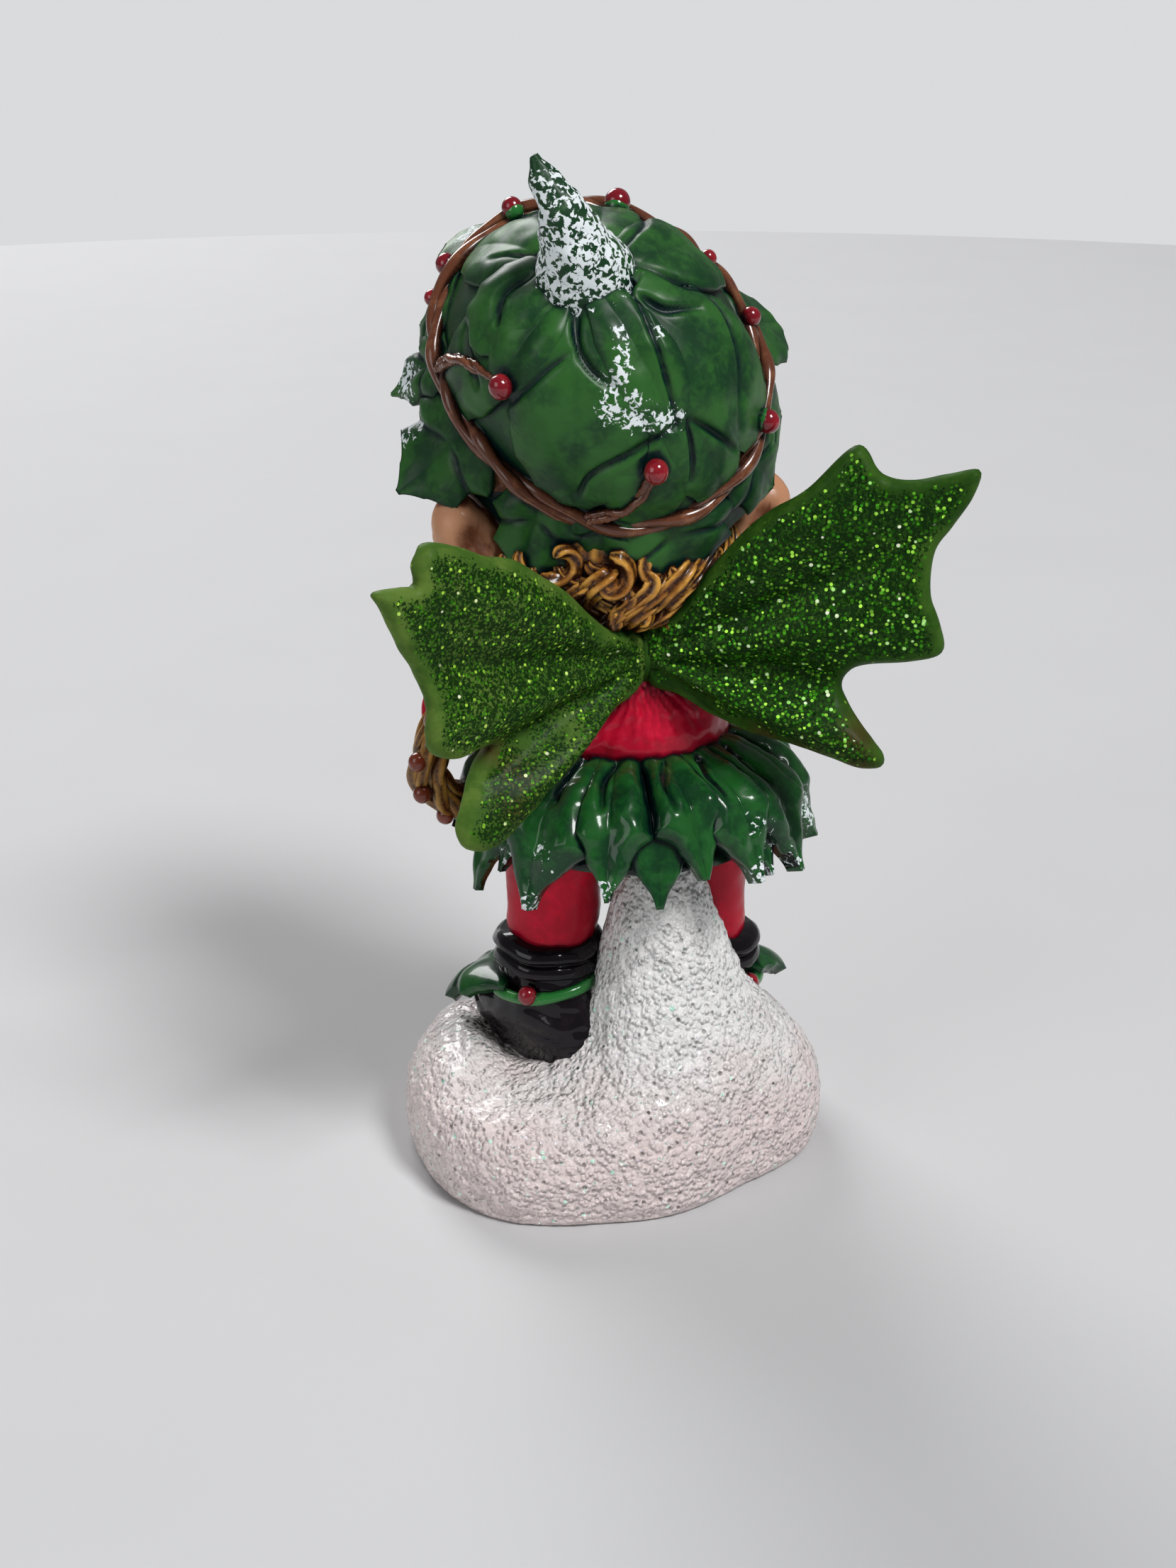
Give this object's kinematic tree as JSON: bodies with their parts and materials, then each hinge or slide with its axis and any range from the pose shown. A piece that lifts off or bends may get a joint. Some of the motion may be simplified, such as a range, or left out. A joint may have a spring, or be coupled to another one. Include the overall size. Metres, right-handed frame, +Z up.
{
  "type": "elf figurine",
  "caption": "Cast and painted elf figurine with holly-leaf wings, leaf hat and leaf skirt, standing on a mound of snow and holding a vine wreath.",
  "frame": {"origin": "centre of the flat underside of the snow base", "axes": "+Z up to the tip of the hat, +Y towards the figure's back and its wings, +X towards its own left hand"},
  "size_m": [0.076, 0.0588, 0.143],
  "materials": {
    "painted_resin": "painted and varnished, with glitter on the wings and the snow",
    "holly_green_paint": "green paint on the hat, the skirt and the boots' leaves, with a dark wash in the creases and white specks",
    "wing_glitter": "yellow-green paint under clear varnish with green glitter",
    "snow_white_paint": "rough pearl white with sparse glitter",
    "red_paint": "glossy red paint on the jacket and leggings",
    "black_paint": "glossy black paint on the boots",
    "flesh_paint": "satin flesh paint with a brown wash",
    "hair_paint": "golden-brown paint with a dark wash",
    "twig_paint": "glossy brown paint on the twigs and the vine wreath",
    "berry_paint": "glossy dark red paint"
  },
  "bodies": {
    "root": {"elf_figurine": "painted_resin"}
  },
  "joints": []
}
